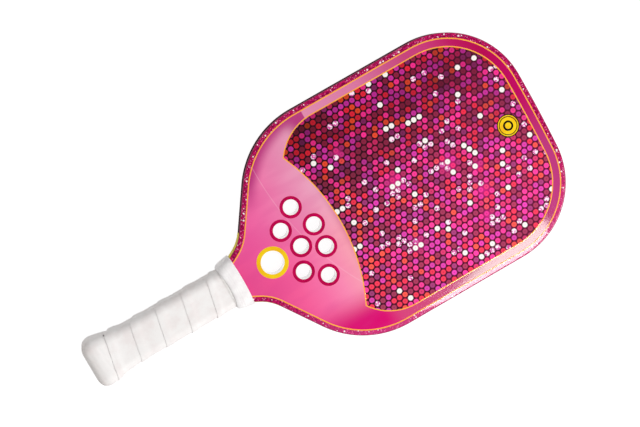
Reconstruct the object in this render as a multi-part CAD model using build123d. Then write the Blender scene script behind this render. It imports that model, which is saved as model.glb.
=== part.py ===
from build123d import *
import os
from math import cos, radians, sin, sqrt, tan

# Pickleball paddle, in millimetres.
# Origin: centre of the butt end. +X runs from the butt to the tip, +Z out of the front face.

# Overall sizes
overall_length = 412.75
overall_width = 196.85
handle_length = 137.8            # butt end to the mouth of the collar

# Blade layers, the same on both faces
core_thickness = 12.7
sheet_thickness = 0.6            # fibreglass face sheet
film_thickness = 0.15            # printed film over the sheet
blade_thickness = core_thickness + 2 * (sheet_thickness + film_thickness)

# Blade outline
corner_radius = 67.25            # the two tip corners
crown_radius = 1200.0            # slight crown of the tip
shoulder_radius = 75.5
flank_angle = 56.0               # slope of the straight flanks, from the long axis
neck_radius = 34.0               # hollow between flank and handle
neck_angle = 28.0                # slope of the neck where it leaves the collar
neck_run = 4.1                   # straight length of the neck outside the collar
neck_half_width = 20.2           # at the mouth of the collar
edge_strip_thickness = 1.0
yellow_strip_end = 154.0         # where the yellow side strips give way to the black one
strip_gap = 0.2
strip_cover = 4.0                # length of strip hidden inside the collar

# Holes through the throat
large_hole_radius = 9.5
small_hole_radius = 6.3
large_hole_x = 166.0
small_hole_places = [(184.0, 18.8), (184.0, -18.8), (192.1, 0.0), (200.1, 31.2),
                     (200.1, -31.2), (209.5, 10.1), (209.5, -10.1)]
liner_wall = 0.8
liner_clearance = 0.05

# Core
throat_block_end = 227.0         # foam block round the holes ends here
foam_margin = 7.0                # foam between honeycomb and edge
cell_size = 8.0                  # honeycomb pitch, across flats
cell_wall = 0.4
core_gap = 0.1                   # glue line between neighbouring core pieces

# Handle and wraps
grip_width = 33.4
pallet_thickness = 4.4
pallet_corner = 4.2
base_grip_thickness = 1.6
overgrip_thickness = 1.0
glue_line = 0.05
wrap_end = 126.5                 # both wraps end inside the collar
pallet_end = 136.4
film_gap = 0.1                   # from the mouth of the collar to the start of the films
pallet_neck_inset = 1.75         # from the neck's side to the pallet's, at the blade end
butt_flare_width = 3.8           # how far the butt stands out past the grip, each side
butt_flare_thickness = 3.5
butt_corner = 2.5
butt_end_share = -0.05           # share of that flare left at the rim of the cap
butt_shape = [(4.0, 0.70), (9.0, 1.0), (15.0, 0.82), (22.0, 0.42), (30.0, 0.17), (40.0, 0.0)]

# Butt cap
cap_lip = 1.2                    # rim at the end of the cap, where the wraps stop
lip_inset = 1.2                  # how far the rim stays inside the surface of the overgrip
cap_length = 24.0
cap_end_wall = 3.2
cap_clearance = 0.1
disc_width, disc_height, disc_corner = 20.0, 15.0, 4.0
disc_thickness = 0.9
staple_x = 18.0
staple_crown = 10.0
staple_wire = 0.6
staple_leg = 4.6
staple_cover = 0.3               # depth of the crown below the cap's surface
staple_clearance = 0.05

# Collar and finishing tape
collar_start = 124.0
collar_straight = 3.5            # parallel stretch over the end of the wraps
collar_wall = 1.25
collar_bulge = 1.5               # extra rubber where the collar widens
collar_clearance = 0.1
tape_thickness = 0.16
tape_start = 124.4
tape_clearance = 0.02

wrap_thickness = base_grip_thickness + overgrip_thickness
tang_half_width = grip_width / 2 - wrap_thickness - glue_line
sheet_top = core_thickness / 2 + sheet_thickness
film_top = blade_thickness / 2
pallet_half_thickness = sheet_top + pallet_thickness
grip_thickness = 2 * (pallet_half_thickness + glue_line + wrap_thickness)
large_liner_outer = large_hole_radius + liner_wall
small_liner_outer = small_hole_radius + liner_wall
reach = 2 * overall_length       # larger than the part, for cutting boxes


def half_space(low_x=-reach, high_x=reach, low_y=-reach, high_y=reach, low_z=-reach, high_z=reach):
    """A box between the given limits, used to keep one side of a piece."""
    size = (high_x - low_x, high_y - low_y, high_z - low_z)
    centre = ((low_x + high_x) / 2, (low_y + high_y) / 2, (low_z + high_z) / 2)
    return Pos(*centre) * Box(*size)


def blade_outline():
    """Plan of the blade with its tang: straight sides, round shoulders, hollow neck."""
    half = overall_width / 2
    steep, shallow = radians(flank_angle), radians(neck_angle)
    tang_y = tang_half_width + edge_strip_thickness
    tang_x = handle_length - (neck_half_width - tang_y) / tan(shallow)
    neck_x = handle_length + neck_run
    neck_y = neck_half_width + neck_run * tan(shallow)
    neck_centre = (neck_x - neck_radius * sin(shallow), neck_y + neck_radius * cos(shallow))
    flank_x = neck_centre[0] + neck_radius * sin(steep)
    flank_y = neck_centre[1] - neck_radius * cos(steep)
    shoulder_y = half - shoulder_radius * (1 - cos(steep))
    shoulder_x = flank_x + (shoulder_y - flank_y) / tan(steep)
    side_x = shoulder_x + shoulder_radius * sin(steep)
    crown_x = overall_length - crown_radius
    corner_y = half - corner_radius
    corner_x = crown_x + sqrt((crown_radius - corner_radius) ** 2 - corner_y ** 2)
    grow = crown_radius / (crown_radius - corner_radius)
    crown_end = (crown_x + (corner_x - crown_x) * grow, corner_y * grow)
    crown_turn = Vector(corner_x - crown_x, corner_y).get_angle(Vector(1, 0))
    side = [
        Line((cap_end_wall, tang_y), (tang_x, tang_y)),
        Line((tang_x, tang_y), (neck_x, neck_y)),
        CenterArc(neck_centre, neck_radius, neck_angle - 90, flank_angle - neck_angle),
        Line((flank_x, flank_y), (shoulder_x, shoulder_y)),
        CenterArc((side_x, half - shoulder_radius), shoulder_radius, 90, flank_angle),
        Line((side_x, half), (corner_x, half)),
        CenterArc((corner_x, corner_y), corner_radius, crown_turn, 90 - crown_turn),
    ]
    edges = side + [mirror(edge, about=Plane.XZ) for edge in side]
    edges.append(Line((cap_end_wall, -tang_y), (cap_end_wall, tang_y)))
    edges.append(ThreePointArc((crown_end[0], -crown_end[1]), (overall_length, 0), crown_end))
    return make_face([edge.edge() for edge in edges])


def layer(plan, low_z, high_z):
    return Pos(0, 0, low_z) * extrude(plan, amount=high_z - low_z, dir=(0, 0, 1))


def hole_cutters(extra):
    """Cylinders through the blade at every hole, wider than its liner by extra."""
    places = [(large_hole_x, 0, large_liner_outer)]
    places += [(x, y, small_liner_outer) for x, y in small_hole_places]
    return [Pos(x, y, 0) * Cylinder(radius + extra, 2 * blade_thickness) for x, y, radius in places]


def butt_share(x):
    """How much of the butt's flare is left at x, from 1 at its widest to 0 on the plain grip."""
    points = [(cap_lip, butt_end_share)] + butt_shape
    if x <= points[0][0]:
        return points[0][1]
    for (x0, share0), (x1, share1) in zip(points, points[1:]):
        if x <= x1:
            return share0 + (share1 - share0) * (x - x0) / (x1 - x0)
    return 0.0


def grip_section(x, depth):
    """Rounded rectangle of the handle at x, lying depth below the overgrip's surface."""
    share = butt_share(x)
    width = grip_width + 2 * (butt_flare_width * share - depth)
    height = grip_thickness + 2 * (butt_flare_thickness * share - depth)
    corner = pallet_corner + wrap_thickness + butt_corner * share - depth
    return Plane.YZ.offset(x) * RectangleRounded(width, height, corner)


def handle_solid(start, end, depth):
    """The handle's body between two places, lying depth below the overgrip's surface."""
    stations = [start] + [x for x, _ in butt_shape if start < x < end] + [end]
    return loft([grip_section(x, depth) for x in stations], ruled=True)


def honeycomb_core(plan):
    """Plate of hexagonal cells. Only whole cells are cut, so its rim stays closed."""
    across = cell_size - cell_wall
    room = offset(plan, amount=-(cell_size / sqrt(3) + cell_wall), kind=Kind.INTERSECTION).face()
    cell = RegularPolygon(across / 2, 6, major_radius=False, rotation=30).wire()
    row_step = cell_size * sqrt(3) / 2
    box = room.bounding_box()
    rows = int(box.size.Y / 2 / row_step) + 1
    columns = int(box.size.X / cell_size) + 2
    cells = []
    for row in range(-rows, rows + 1):
        for column in range(columns):
            x = box.min.X + cell_size * (column + 0.5 * (row % 2))
            y = row_step * row
            if room.is_inside((x, y, 0)):
                cells.append(cell.moved(Location((x, y, 0))))
    print("honeycomb cells", len(cells))
    return layer(Face(plan.outer_wire(), cells), -core_thickness / 2, core_thickness / 2)


def honeycomb_plan(inner_plan):
    room = offset(inner_plan, amount=-foam_margin, kind=Kind.INTERSECTION)
    start = throat_block_end + core_gap + foam_margin
    return (room & half_space(low_x=start, low_z=-1, high_z=1)).face()


def core_pieces(inner_plan):
    """Honeycomb, its foam surround, the foam block round the holes and the handle's core."""
    comb_plan = honeycomb_plan(inner_plan)
    bottom, top = -core_thickness / 2, core_thickness / 2
    whole = layer(inner_plan, bottom, top)
    handle_end = collar_start - core_gap
    surround = whole & half_space(low_x=throat_block_end + core_gap)
    surround -= layer(offset(comb_plan, amount=core_gap, kind=Kind.INTERSECTION), bottom, top)
    block = whole & half_space(low_x=collar_start, high_x=throat_block_end)
    for cutter in hole_cutters(liner_clearance):
        block -= cutter
    return {
        "honeycomb_core": honeycomb_core(comb_plan),
        "perimeter_foam": surround,
        "throat_block": block,
        "handle_core": whole & half_space(high_x=handle_end),
    }


def face_layers(plan, inner_plan):
    """Face sheets over the whole core, and printed films over the blade alone."""
    sheet = layer(inner_plan, core_thickness / 2, sheet_top)
    film = layer(plan, sheet_top, film_top) & half_space(low_x=handle_length + film_gap)
    for cutter in hole_cutters(liner_clearance):
        sheet -= cutter
        film -= cutter
    return {
        "front_face_sheet": sheet,
        "back_face_sheet": mirror(sheet, about=Plane.XY),
        "front_graphic_film": film,
        "back_graphic_film": mirror(film, about=Plane.XY),
    }


def edge_strips(plan, inner_plan):
    """Black strip round the head, and a yellow one on each side of the neck."""
    ring = layer(plan - inner_plan, -sheet_top, sheet_top)
    start = handle_length - strip_cover
    yellow = ring & half_space(low_x=start, high_x=yellow_strip_end)
    return {
        "edge_strip": ring & half_space(low_x=yellow_strip_end + strip_gap),
        "neck_strip_left": yellow & half_space(low_y=0),
        "neck_strip_right": yellow & half_space(high_y=0),
    }


def hole_liner(x, y, radius):
    tube = Cylinder(radius + liner_wall, blade_thickness) - Cylinder(radius, 2 * blade_thickness)
    return Pos(x, y, 0) * tube


def hole_liners():
    liners = {"large_hole_liner": hole_liner(large_hole_x, 0, large_hole_radius)}
    for number, (x, y) in enumerate(small_hole_places, 1):
        liners[f"hole_liner_{number}"] = hole_liner(x, y, small_hole_radius)
    return liners


def staple_boxes(clearance, head_room):
    """The staple in the front of the cap: a crown across the handle and two legs."""
    surface = butt_surface(staple_x) - staple_cover
    wire = staple_wire / 2 + clearance
    across = staple_crown / 2 + clearance
    near, far = staple_x - wire, staple_x + wire
    crown = half_space(near, far, -across, across, surface - 2 * wire, surface + head_room)
    legs = half_space(near, far, -across, across, surface - staple_leg - clearance, surface)
    inside = across - 2 * wire
    return crown + (legs - half_space(near - 1, far + 1, -inside, inside, high_z=surface - 2 * wire))


def butt_surface(x):
    """Height of the cap's outside above the mid plane at x."""
    return grip_thickness / 2 + butt_flare_thickness * butt_share(x) - wrap_thickness


def pallets(staples):
    """Two half-handles on the faces of the tang, flared at the blade to fill the collar."""
    corner = pallet_corner
    width, height = 2 * tang_half_width, 2 * pallet_half_thickness
    bend = collar_start + collar_straight
    plain = Plane.YZ.offset(cap_end_wall) * RectangleRounded(width, height, corner)
    body = extrude(plain, amount=bend - cap_end_wall, dir=(1, 0, 0))
    near = Plane.YZ.offset(bend) * RectangleRounded(width, height, corner)
    neck_width = 2 * (neck_half_width - pallet_neck_inset)
    far = Plane.YZ.offset(pallet_end) * RectangleRounded(neck_width, height, corner)
    body += loft([near, far], ruled=True)
    front = (body & half_space(low_z=sheet_top)) - staples
    return {"pallet_front": front, "pallet_back": mirror(front, about=Plane.XY)}


def butt_cap(staple_slots):
    """Moulded cap over the end of the handle, with a rim where the wraps stop."""
    body = handle_solid(cap_lip, cap_length, wrap_thickness + glue_line)
    lip = extrude(grip_section(cap_lip, lip_inset), amount=-cap_lip, dir=(1, 0, 0))
    inside = RectangleRounded(2 * (tang_half_width + cap_clearance),
                              2 * (pallet_half_thickness + cap_clearance), pallet_corner)
    cavity = extrude(Plane.YZ.offset(cap_end_wall - cap_clearance) * inside,
                     amount=cap_length, dir=(1, 0, 0))
    recess = RectangleRounded(disc_width + 2 * cap_clearance, disc_height + 2 * cap_clearance,
                              disc_corner + cap_clearance)
    cap = body + lip - cavity
    cap -= extrude(Plane.YZ * recess, amount=disc_thickness + glue_line, dir=(1, 0, 0))
    return cap - staple_slots - mirror(staple_slots, about=Plane.XY)


def butt_disc():
    plate = Plane.YZ * RectangleRounded(disc_width, disc_height, disc_corner)
    return extrude(plate, amount=disc_thickness, dir=(1, 0, 0))


def collar_section(x, width, height, corner):
    return Plane.YZ.offset(x) * RectangleRounded(width, height, corner)


def grip_collar():
    """Rubber band over the end of the wraps, opening out to the neck of the blade."""
    room = 2 * (tape_thickness + 2 * tape_clearance)
    near_width, near_height = grip_width + room, grip_thickness + room
    far_width = 2 * (neck_half_width + collar_clearance)
    far_height = 2 * (pallet_half_thickness + collar_clearance)
    corner = pallet_corner + wrap_thickness
    wall = 2 * collar_wall
    bend = collar_start + collar_straight
    inner = loft([collar_section(collar_start, near_width, near_height, corner),
                  collar_section(bend, near_width, near_height, corner),
                  collar_section(handle_length, far_width, far_height, corner - 1.8)], ruled=True)
    bulge = 2 * collar_bulge
    outer = loft([collar_section(collar_start, near_width + wall, near_height + wall, corner + 1),
                  collar_section(bend, near_width + wall + bulge, near_height + wall, corner + 1),
                  collar_section(handle_length, far_width + wall, far_height + wall, corner)],
                 ruled=True)
    return outer - inner


def finishing_tape():
    """Thin tape wound once round the end of the overgrip, under the collar."""
    start = tape_start
    length = wrap_end - start
    outer = grip_section(start, -(tape_clearance + tape_thickness))
    inner = grip_section(start, -tape_clearance)
    return extrude(outer, amount=length, dir=(1, 0, 0)) - extrude(inner, amount=length, dir=(1, 0, 0))


def wraps():
    """Cushioned base grip and the overgrip wound over it, each as one closed sleeve."""
    outside = handle_solid(cap_lip, wrap_end, 0)
    between = handle_solid(cap_lip, wrap_end, overgrip_thickness)
    inside = handle_solid(cap_lip, wrap_end, wrap_thickness)
    return {"overgrip": outside - between, "base_grip": between - inside}


def build():
    plan = blade_outline()
    inner_plan = offset(plan, amount=-edge_strip_thickness, kind=Kind.INTERSECTION).face()
    staple = staple_boxes(0, 0)
    slots = staple_boxes(staple_clearance, staple_leg)
    nodes = core_pieces(inner_plan)
    nodes.update(face_layers(plan, inner_plan))
    nodes.update(edge_strips(plan, inner_plan))
    nodes.update(hole_liners())
    nodes.update(pallets(slots))
    nodes.update(wraps())
    nodes["butt_cap"] = butt_cap(slots)
    nodes["butt_disc"] = butt_disc()
    nodes["cap_staples"] = Compound(children=[staple, mirror(staple, about=Plane.XY)])
    nodes["finishing_tape"] = finishing_tape()
    nodes["grip_collar"] = grip_collar()
    return nodes


os.makedirs("parts", exist_ok=True)
for name, shape in build().items():
    export_step(shape, f"parts/{name}.step")
    print(name, len(shape.solids()), round(shape.volume, 1))
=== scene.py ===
import math
import random

import bmesh
import bpy
from mathutils import Matrix, Vector, noise


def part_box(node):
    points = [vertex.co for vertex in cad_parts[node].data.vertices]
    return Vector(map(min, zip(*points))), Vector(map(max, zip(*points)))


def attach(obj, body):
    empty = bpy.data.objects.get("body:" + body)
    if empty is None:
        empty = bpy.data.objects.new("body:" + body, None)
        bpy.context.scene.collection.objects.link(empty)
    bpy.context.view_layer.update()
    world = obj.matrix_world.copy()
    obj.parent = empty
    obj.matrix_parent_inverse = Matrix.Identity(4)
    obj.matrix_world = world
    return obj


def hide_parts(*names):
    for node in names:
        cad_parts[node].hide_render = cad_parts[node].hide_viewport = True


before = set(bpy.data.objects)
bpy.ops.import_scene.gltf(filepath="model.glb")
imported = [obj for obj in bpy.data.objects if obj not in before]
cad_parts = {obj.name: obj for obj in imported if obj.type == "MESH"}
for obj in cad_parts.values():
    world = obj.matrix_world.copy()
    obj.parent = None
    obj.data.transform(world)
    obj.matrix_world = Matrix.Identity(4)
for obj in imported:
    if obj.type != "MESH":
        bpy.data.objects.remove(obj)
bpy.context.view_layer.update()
print("frame loaded")

mm = 0.001  # every size below is in millimetres


# Camera, as it stood over the paddle

cameraSetup = {
    "lens": 100.0,
    "sensor": 36.0,
    "place": (116.617, 211.545, 1402.517),
    "right": (0.86448893, -0.48525549, 0.13109541),
    "up": (0.49750481, 0.86325155, -0.08535652),
}


def makeCamera():
    lens = bpy.data.cameras.new("camera")
    lens.lens = cameraSetup["lens"]
    lens.sensor_width = cameraSetup["sensor"]
    right = Vector(cameraSetup["right"])
    up = Vector(cameraSetup["up"])
    camera = bpy.data.objects.new("camera", lens)
    turn = Matrix((right, up, right.cross(up))).transposed().to_4x4()
    camera.matrix_world = Matrix.Translation(Vector(cameraSetup["place"]) * mm) @ turn
    bpy.context.scene.collection.objects.link(camera)
    bpy.context.scene.camera = camera
    return camera


makeCamera()
print("camera placed")


# Paths in plan

def arc(centreX, centreY, radius, start, end, step=1.5):
    count = max(2, math.ceil(abs(end - start) / step))
    turns = [math.radians(start + (end - start) * i / count) for i in range(count + 1)]
    return [Vector((centreX + radius * math.cos(a), centreY + radius * math.sin(a))) for a in turns]


def straight(start, end, step=8.0):  # points between two ends, without the ends
    count = max(1, math.ceil((end - start).length / step))
    return [start.lerp(end, i / count) for i in range(1, count)]


def chained(stretches):  # stretches joined by straights, with no point twice
    points = list(stretches[0])
    for stretch in stretches[1:]:
        points += straight(points[-1], stretch[0])
        points += [p for p in stretch if (p - points[-1]).length > 1e-4]
    return points


def rightward(points, closed):  # at each point, the mitred normal to the right of the path
    last = len(points) - 1
    normals = []
    for i, here in enumerate(points):
        before = points[i - 1] if closed or i > 0 else None
        after = points[(i + 1) % len(points)] if closed or i < last else None
        sides = []
        if before is not None:
            sides.append(Vector(((here - before).y, -(here - before).x)).normalized())
        if after is not None:
            sides.append(Vector(((after - here).y, -(after - here).x)).normalized())
        middle = sum(sides, Vector((0, 0))).normalized()
        normals.append(middle / max(0.4, middle.dot(sides[0])))
    return normals


def shifted(points, distance, closed=True):
    return [p + n * distance for p, n in zip(points, rightward(points, closed))]


# Mesh making

def shade(piece, angle=35):
    piece.data.shade_smooth()
    piece.data.set_sharp_from_angle(angle=math.radians(angle))


def addPiece(name, mesh, material):
    piece = bpy.data.objects.new(name, mesh)
    bpy.context.scene.collection.objects.link(piece)
    mesh.materials.append(material)
    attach(piece, "root")
    return piece


def skin(name, rings, closed, material):  # a closed solid through rings of equally many points
    size = len(rings[0])
    count = len(rings)
    points = [p * mm for ring in rings for p in ring]
    faces = []
    for i in range(count if closed else count - 1):
        here = i * size
        there = (i + 1) % count * size
        for j in range(size):
            k = (j + 1) % size
            faces.append((here + j, here + k, there + k, there + j))
    if not closed:
        faces.append(tuple(range(size)))
        faces.append(tuple(range((count - 1) * size, count * size)))
    mesh = bpy.data.meshes.new(name)
    mesh.from_pydata(points, [], faces)
    cleanMesh(mesh)
    piece = addPiece(name, mesh, material)
    shade(piece)
    return piece


def cleanMesh(mesh):
    work = bmesh.new()
    work.from_mesh(mesh)
    bmesh.ops.recalc_face_normals(work, faces=work.faces)
    work.to_mesh(mesh)
    work.free()


def sweepBand(name, path, section, closed, material, face=1):  # section is (inset, height) points
    loops = [shifted(path, inset, closed) for inset, height in section]
    rings = []
    for i in range(len(path)):
        ring = [(loop[i].x, loop[i].y, face * height) for loop, (inset, height) in zip(loops, section)]
        rings.append([Vector(p) for p in ring])
    return skin(name, rings, closed, material)


def flatPiece(name, loops, low, high, material, face=1):  # a plate with holes
    work = bmesh.new()
    edges = []
    for loop in loops:
        corners = [work.verts.new((p.x * mm, p.y * mm, face * low * mm)) for p in loop]
        edges += [work.edges.new((a, b)) for a, b in zip(corners, corners[1:] + corners[:1])]
    bmesh.ops.triangle_fill(work, use_beauty=True, use_dissolve=False, edges=edges)
    raised = bmesh.ops.extrude_face_region(work, geom=work.faces[:])
    top = [part for part in raised["geom"] if isinstance(part, bmesh.types.BMVert)]
    bmesh.ops.translate(work, verts=top, vec=(0, 0, face * (high - low) * mm))
    bmesh.ops.recalc_face_normals(work, faces=work.faces)
    mesh = bpy.data.meshes.new(name)
    work.to_mesh(mesh)
    work.free()
    return addPiece(name, mesh, material)


def setValues(piece, name, values):
    layer = piece.data.attributes.new(name, "FLOAT", "POINT")
    layer.data.foreach_set("value", values)


# Material making

def paint(code):  # a written colour as the linear values that the shader wants
    parts = [int(code[i:i + 2], 16) / 255 for i in (1, 3, 5)]
    linear = [c / 12.92 if c <= 0.04045 else ((c + 0.055) / 1.055) ** 2.4 for c in parts]
    return (*linear, 1.0)


def newMaterial(name, roughness, specular=0.5, coat=0.0):
    material = bpy.data.materials.new(name)
    material.use_nodes = True
    shader = material.node_tree.nodes["Principled BSDF"]
    shader.inputs["Roughness"].default_value = roughness
    shader.inputs["Specular IOR Level"].default_value = specular
    shader.inputs["Coat Weight"].default_value = coat
    shader.inputs["Coat Roughness"].default_value = 0.08
    return material, material.node_tree, shader


def node(tree, kind, values=None, **settings):
    made = tree.nodes.new("ShaderNode" + kind)
    for key, value in settings.items():
        setattr(made, key, value)
    for key, value in (values or {}).items():
        if isinstance(value, bpy.types.NodeSocket):
            tree.links.new(value, made.inputs[key])
        else:
            made.inputs[key].default_value = value
    return made


def calc(tree, operation, a, b=0.0, clamp=False):
    return node(tree, "Math", {0: a, 1: b}, operation=operation, use_clamp=clamp).outputs[0]


def product(tree, value, *others):
    for other in others:
        value = calc(tree, "MULTIPLY", value, other)
    return value


def planDistance(tree, x, y, centre):  # how far a place lies from a centre, seen from above
    offX = calc(tree, "SUBTRACT", x, centre[0])
    offY = calc(tree, "SUBTRACT", y, centre[1])
    return calc(tree, "SQRT", calc(tree, "ADD", product(tree, offX, offX), product(tree, offY, offY)))


def partOf(tree, value, start, length):  # 0 at the start, 1 after the length, straight between
    return calc(tree, "DIVIDE", calc(tree, "SUBTRACT", value, start), length, True)


def between(tree, value, low, high):  # 0 at low, 1 at high, with soft ends
    made = node(tree, "MapRange", {"Value": value, "From Min": low, "From Max": high})
    made.interpolation_type = "SMOOTHSTEP"
    return made.outputs[0]


def mixed(tree, share, a, b, how="MIX"):
    made = node(tree, "Mix", {0: share, 6: a, 7: b}, data_type="RGBA", blend_type=how)
    return made.outputs[2]


def ramp(tree, value, stops):
    made = node(tree, "ValToRGB", {0: value})
    elements = made.color_ramp.elements
    for place, code in stops[1:-1]:
        elements.new(place).color = paint(code)
    elements[0].position = stops[0][0]
    elements[0].color = paint(stops[0][1])
    elements[-1].position = stops[-1][0]
    elements[-1].color = paint(stops[-1][1])
    return made.outputs[0]


def places(tree):  # position in millimetres, whole and as x, y, z
    spot = node(tree, "TexCoord").outputs["Object"]
    scaled = node(tree, "VectorMath", {0: spot, "Scale": 1 / mm}, operation="SCALE").outputs[0]
    parts = node(tree, "SeparateXYZ", {0: scaled}).outputs
    return scaled, parts[0], parts[1], parts[2]


def noiseOf(tree, spot, scale, detail=2.0, roughness=0.5):
    values = {"Vector": spot, "Scale": scale, "Detail": detail, "Roughness": roughness}
    return node(tree, "TexNoise", values).outputs[0]


def bumped(tree, shader, height, depth, strength=1.0):
    values = {"Height": height, "Distance": depth * mm, "Strength": strength}
    bump = node(tree, "Bump", values)
    tree.links.new(bump.outputs[0], shader.inputs["Normal"])


def attributeOf(tree, name):
    return node(tree, "Attribute", attribute_name=name).outputs["Fac"]


mottled = {  # what a mottled finish has, where its own values don't say
    "specular": 0.4,
    "coat": 0.0,
    "metallic": 0.0,
    "patchDetail": 3.0,
    "patchEdges": (0.35, 0.7),
    "grainStrength": 1.0,
}


def makeMottled(name, look):  # two colours in soft patches, over a fine grain
    if name in bpy.data.materials:
        return bpy.data.materials[name]
    look = {**mottled, **look}
    material, tree, shader = newMaterial(name, look["roughness"], look["specular"], look["coat"])
    shader.inputs["Metallic"].default_value = look["metallic"]
    spot = places(tree)[0]
    patch = noiseOf(tree, spot, look["patchScale"], look["patchDetail"])
    light, deep = [paint(code) for code in look["colours"]]
    colour = mixed(tree, between(tree, patch, *look["patchEdges"]), light, deep)
    tree.links.new(colour, shader.inputs["Base Color"])
    grain = noiseOf(tree, spot, look["grainScale"], 3.0)
    bumped(tree, shader, grain, look["grainDepth"], look["grainStrength"])
    return material


# Colours and finish of the printed film

filmFinish = {
    "roughness": 0.06,
    "specular": 0.42,
    "waviness": 0.004,
    "throatLow": [(0.0, "#E54E90"), (0.21, "#EE5494"), (0.4, "#F55F9B"), (0.59, "#F66FA6"),
                  (0.78, "#F888B2"), (1.0, "#F6A0B2")],
    "throatHigh": [(0.0, "#EE5A9A"), (0.21, "#F25FA2"), (0.4, "#F26CA8"), (0.59, "#F27EB0"),
                   (0.78, "#EE90B8"), (1.0, "#ECA5C1")],
    "borderHigh": [(0.0, "#BB3F82"), (0.083, "#BB3F82"), (0.086, "#E490B1"), (0.19, "#E086AE"),
                   (0.34, "#DC79A4"), (0.51, "#CC5688"), (0.59, "#C8467D"), (0.69, "#CA3B7A"),
                   (0.8, "#BE1A62"), (0.9, "#B60950"), (1.0, "#C10668")],
    "borderLow": [(0.0, "#D6407A"), (0.18, "#CC4A7A"), (0.3, "#C24A7A"), (0.42, "#98284F"),
                  (0.74, "#98284F"), (0.85, "#BB3A7C"), (1.0, "#B6367A")],
    "throatRun": (140.0, 85.0),  # where its colours start along the paddle, and over how far they go
    "throatSides": (-15.0, 35.0),
    "borderRun": (229.0, 184.0),
    "borderSides": (-35.0, 25.0),
    "borderMeets": (222.0, 238.0),
    "shoulderShade": "#B8367E",
    "shoulderCentre": (238.1, 22.9),
    "shoulderReach": (60.0, 71.0),
    "shoulderSides": (38.0, 68.0),
    "lowerShade": "#D80C70",
    "lowerSides": (-50.0, -78.0),
    "line": "#FFD2E2",
    "lineCentre": (423.8, 68.5),
    "lineRadius": 235.0,
    "lineWidth": 0.55,
    "lineShare": 0.28,
    "lineEnd": (232.0, 224.0),
    "insideRadius": 205.0,
    "insideShare": 0.03,
    "insideEnd": (236.0, 222.0),
    "streak": "#D23A8C",
    "streakTurn": 0.7,
    "streakStretch": (0.35, 1.5, 1.0),
    "streakScale": 0.05,
    "streakEdges": (0.42, 0.62),
    "streakEnd": (232.0, 222.0),
    "streakShare": 0.16,
}


def filmShine(tree, shader, spot):  # the slight unevenness of a laminated film
    wave = noiseOf(tree, spot, 0.06, 2.0)
    bumped(tree, shader, wave, filmFinish["waviness"])


def makeFilmMaterial():
    look = filmFinish
    material, tree, shader = newMaterial("printedFilm", look["roughness"], look["specular"])
    spot, x, y = places(tree)[:3]
    along = partOf(tree, x, *look["throatRun"])
    throat = mixed(tree, between(tree, y, *look["throatSides"]), ramp(tree, along, look["throatLow"]),
                   ramp(tree, along, look["throatHigh"]))
    reach = planDistance(tree, x, calc(tree, "ABSOLUTE", y), look["shoulderCentre"])
    rim = product(tree, between(tree, reach, *look["shoulderReach"]),
                  between(tree, y, *look["shoulderSides"]))
    throat = mixed(tree, rim, throat, paint(look["shoulderShade"]))
    throat = mixed(tree, between(tree, y, *look["lowerSides"]), throat, paint(look["lowerShade"]))
    along = partOf(tree, x, *look["borderRun"])
    border = mixed(tree, between(tree, y, *look["borderSides"]), ramp(tree, along, look["borderLow"]),
                   ramp(tree, along, look["borderHigh"]))
    colour = mixed(tree, between(tree, x, *look["borderMeets"]), throat, border)
    span = planDistance(tree, x, y, look["lineCentre"])
    miss = calc(tree, "ABSOLUTE", calc(tree, "SUBTRACT", span, look["lineRadius"]))
    line = product(tree, between(tree, miss, look["lineWidth"], 0.0), look["lineShare"],
                   between(tree, x, *look["lineEnd"]))
    inside = product(tree, between(tree, span, look["lineRadius"], look["insideRadius"]),
                     look["insideShare"], between(tree, x, *look["insideEnd"]))
    colour = mixed(tree, calc(tree, "ADD", line, inside), colour, paint(look["line"]))
    slant = {"Vector": spot, "Rotation": (0, 0, look["streakTurn"]), "Scale": look["streakStretch"]}
    slanted = node(tree, "Mapping", slant).outputs[0]
    streak = between(tree, noiseOf(tree, slanted, look["streakScale"], 2.0), *look["streakEdges"])
    cloudy = product(tree, between(tree, x, *look["streakEnd"]), look["streakShare"], streak)
    colour = mixed(tree, cloudy, colour, paint(look["streak"]))
    tree.links.new(colour, shader.inputs["Base Color"])
    filmShine(tree, shader, spot)
    return material


glitterFinish = {
    "base": "#CE1462",
    "deep": "#7C0440",
    "cloudScale": 0.55,
    "cloudEdges": (0.4, 0.6),
    # painted light: the lower side of the band is painted lighter, as if the soft box lit it
    "lower": "#E04A90",
    "lowerSides": (-20.0, -96.0),
    "lowerPaintedLight": 0.5,
    "fleck": "#FF94C8",
    "fleckPitch": 1.15,
    "fleckShare": 0.4,
    "fleckSize": 0.36,
    "fleckStrength": 0.55,
    "spark": "#FFF4F8",
    "sparkPitch": 2.4,
    "sparkShare": 0.36,
    "sparkSize": 0.24,
    "sparkStrength": 0.9,
    # painted shade: the rounded edge is painted a darker crimson, where it turns away from the soft box
    "edge": "#A2094A",
    "shadedEdgeHeights": (7.09, 6.95),
    # painted shade: the film turned down over the edge is painted near black, as in its own shadow; it is
    # also made rougher
    "side": "#5C0430",
    "shadedSideHeights": (6.85, 6.3),
    "sideRoughness": 0.8,
}


def flecks(tree, spot, pitch, share, size):  # a share of the cells hold one dot each
    cells = node(tree, "TexVoronoi", {"Vector": spot, "Scale": 1 / pitch})
    pick = node(tree, "SeparateColor", {0: cells.outputs["Color"]}).outputs
    chosen = calc(tree, "GREATER_THAN", pick[0], 1 - share)
    radius = product(tree, calc(tree, "ADD", pick[1], 0.5), size)
    dot = calc(tree, "LESS_THAN", cells.outputs["Distance"], radius)
    return product(tree, chosen, dot)


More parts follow.
